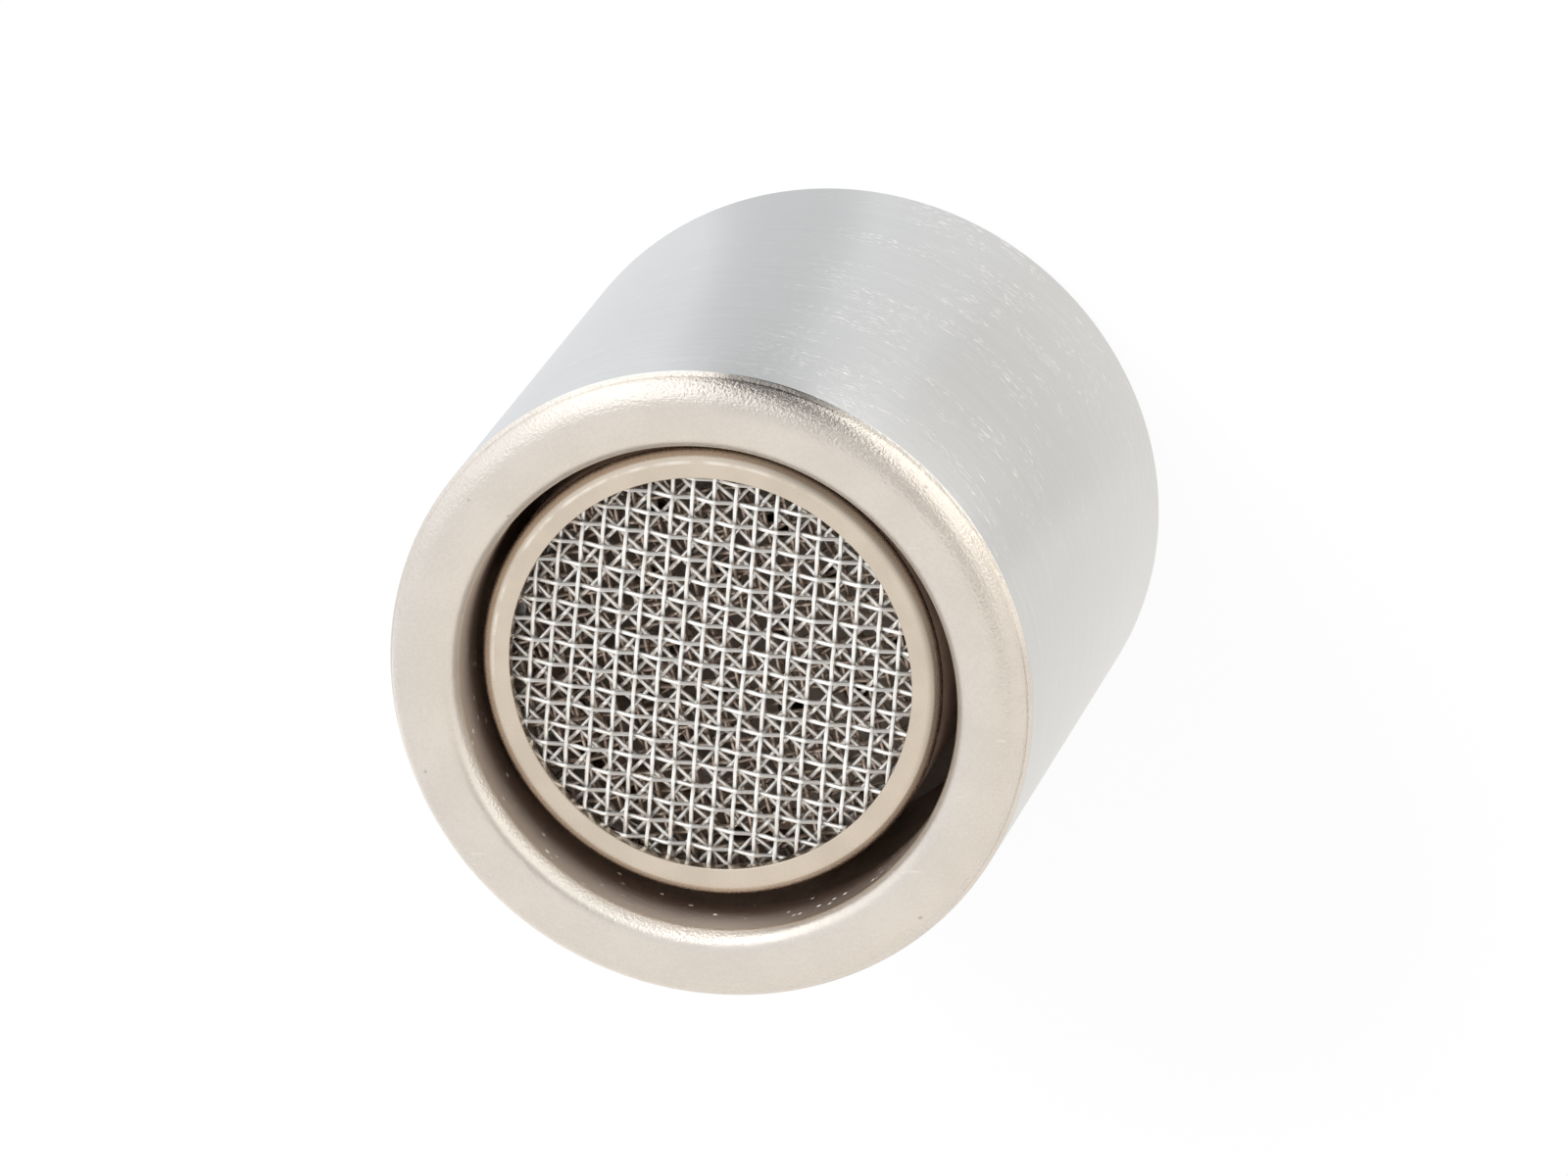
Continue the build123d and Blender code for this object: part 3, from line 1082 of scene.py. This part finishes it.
# Tints of the light to the camera and to reflections, and the azimuth of the cool side in degrees
WHITE = (1, 1, 1, 1)
WARM_LIGHT = (1.02, 1.0, 0.97, 1)
COOL_LIGHT = (0.985, 1.0, 1.02, 1)
COOL_SIDE = 140


def studio_tint(recipe, towards, glossy):
    """White to the camera, and to reflections a little cooler on one side than on the other."""
    cool_side = recipe.side(recipe.bearing(towards), COOL_SIDE, -0.6, 0.9)
    return recipe.mix(glossy, WHITE, recipe.mix(cool_side, WARM_LIGHT, COOL_LIGHT))


def light_path(recipe, rays):
    """1 for this kind of ray, and 0 for others."""
    return recipe.node("ShaderNodeLightPath", output=rays)


def reflected(recipe):
    """1 for rays that metal or glass sends on, and 0 for others."""
    return light_path(recipe, "Is Glossy Ray").larger(light_path(recipe, "Is Transmission Ray"))


# The floor's half width, its depth below the part, its paper and how much of the shadow on it is seen
FLOOR_SIZE = 3.0
FLOOR_DROP = 0.02 * MM
FLOOR_PAPER = (0.9, 0.9, 0.9, 1)
FLOOR_SHADOW = 0.07


def floor_material(outlet):
    """White to the camera, with a soft shadow, the studio's cards to reflections, dark inside the inlet."""
    material, recipe = new_material("studio_floor")
    place = recipe.place()
    towards = recipe.unit(recipe.vector("SUBTRACT", place, outlet))
    camera = light_path(recipe, "Is Camera Ray")
    glossy = reflected(recipe)
    card_level = glossy * studio_level(recipe, towards) + (1.0 - glossy)
    out = recipe.facing(place, recipe.bearing(place))
    lit = recipe.ramp(out, HOUSING.radius - 1.5 * MM, HOUSING.radius - 0.5 * MM)
    tint = studio_tint(recipe, towards, glossy)
    glow = recipe.node("ShaderNodeEmission", {}, {"Color": tint, "Strength": lit * card_level})
    paper = recipe.node("ShaderNodeBsdfDiffuse", {}, {"Color": FLOOR_PAPER})
    share = camera * (1.0 - FLOOR_SHADOW) + glossy
    mixed = recipe.node("ShaderNodeMixShader", {}, {0: share, 1: paper, 2: glow})
    recipe.node("ShaderNodeOutputMaterial", {}, {"Surface": mixed})
    return material


def lay_floor(scene, outlet):
    """A wide white floor just under the part."""
    bm = bmesh.new()
    bmesh.ops.create_grid(bm, x_segments=1, y_segments=1, size=FLOOR_SIZE)
    bmesh.ops.translate(bm, vec=(0, 0, -FLOOR_DROP), verts=bm.verts)
    mesh = bpy.data.meshes.new("studio_floor")
    bm.to_mesh(mesh)
    bm.free()
    mesh.materials.append(floor_material(outlet))
    floor = bpy.data.objects.new("studio_floor", mesh)
    scene.collection.objects.link(floor)


def light_room(scene, room_light):
    """Even light from all sides: white to the camera, and the studio's cards to reflections."""
    scene.world = bpy.data.worlds.new("studio_room")
    recipe = Recipe(scene.world)
    towards = recipe.node("ShaderNodeTexCoord", output="Generated")
    camera = light_path(recipe, "Is Camera Ray")
    glossy = reflected(recipe)
    plain = 1.0 - camera.larger(glossy)
    level = camera + glossy * studio_level(recipe, towards) + plain * room_light
    tint = studio_tint(recipe, towards, glossy)
    room = recipe.node("ShaderNodeBackground", {}, {"Color": tint, "Strength": level})
    recipe.node("ShaderNodeOutputWorld", {}, {"Surface": room})


# The key softbox's width and height, its distance, and its azimuth and elevation in degrees
KEY_WIDTH = 0.35
KEY_HEIGHT = 0.25
KEY_DISTANCE = 0.6
KEY_SIDE = (130, 48)


def hang_key(scene, power, outlet):
    """A softbox above one side, aimed at the outlet and kept out of reflections."""
    lamp = bpy.data.lights.new("key_softbox", "AREA")
    lamp.shape = "RECTANGLE"
    lamp.size = KEY_WIDTH
    lamp.size_y = KEY_HEIGHT
    lamp.energy = power
    key = bpy.data.objects.new("key_softbox", lamp)
    key.location = direction(*KEY_SIDE) * KEY_DISTANCE
    key.rotation_euler = (outlet - key.location).to_track_quat("-Z", "Y").to_euler()
    key.visible_glossy = False
    scene.collection.objects.link(key)


def place_camera(scene, studio):
    """The camera at the photograph's place."""
    lens = bpy.data.cameras.new("photo_camera")
    lens.lens = studio.focal
    viewer = bpy.data.objects.new("photo_camera", lens)
    viewer.matrix_world = (
        Matrix.Translation(studio.eye)
        @ Matrix.Rotation(studio.tilt, 4, "X")
        @ Matrix.Rotation(studio.swing, 4, "Y")
    )
    scene.collection.objects.link(viewer)
    scene.camera = viewer


class AERATOR_OT_stage(bpy.types.Operator):
    """Set up the pale floor, the soft light and the camera"""

    bl_idname = "aerator.stage"
    bl_label = "Stage"

    def execute(self, context):
        scene = context.scene
        studio = scene.aerator_studio
        outlet = Vector((0, 0, HOUSING.high))
        lay_floor(scene, outlet)
        light_room(scene, studio.room_light)
        hang_key(scene, studio.key_power, outlet)
        place_camera(scene, studio)
        scene.view_settings.view_transform = "Standard"
        return {"FINISHED"}


class AERATOR_PT_sidebar(bpy.types.Panel):
    """The aerator's pieces, sizes and finishes"""

    bl_idname = "AERATOR_PT_sidebar"
    bl_label = "Tap Aerator"
    bl_space_type = "VIEW_3D"
    bl_region_type = "UI"
    bl_category = "Aerator"

    def draw(self, context):
        for operator in OPERATORS:
            self.layout.operator(operator.bl_idname)
        for group, sizes in GROUPS.items():
            box = self.layout.box()
            for name in sizes.__annotations__:
                box.prop(getattr(context.scene, group), name)


OPERATORS = (
    AERATOR_OT_housing,
    AERATOR_OT_sleeve,
    AERATOR_OT_screens,
    AERATOR_OT_retainer,
    AERATOR_OT_mouldings,
    AERATOR_OT_washer,
    AERATOR_OT_stage,
)
GROUPS = {
    "aerator_housing": AeratorHousingSizes,
    "aerator_insert": AeratorInsertSizes,
    "aerator_wire": AeratorWireSizes,
    "aerator_finishes": AeratorFinishes,
    "aerator_studio": AeratorStudio,
}


def register():
    """Add the sizes, finishes, operators and panel to Blender."""
    for group, sizes in GROUPS.items():
        bpy.utils.register_class(sizes)
        setattr(bpy.types.Scene, group, PointerProperty(type=sizes))
    for operator in OPERATORS:
        bpy.utils.register_class(operator)
    bpy.utils.register_class(AERATOR_PT_sidebar)


def unregister():
    """Take them out again."""
    bpy.utils.unregister_class(AERATOR_PT_sidebar)
    for operator in reversed(OPERATORS):
        bpy.utils.unregister_class(operator)
    for group, sizes in reversed(GROUPS.items()):
        delattr(bpy.types.Scene, group)
        bpy.utils.unregister_class(sizes)


def main():
    """Model every piece and set the stage."""
    register()
    bpy.ops.aerator.housing()
    bpy.ops.aerator.sleeve()
    bpy.ops.aerator.screens()
    bpy.ops.aerator.retainer()
    bpy.ops.aerator.mouldings()
    bpy.ops.aerator.washer()
    bpy.ops.aerator.stage()


if __name__ == "__main__":
    main()
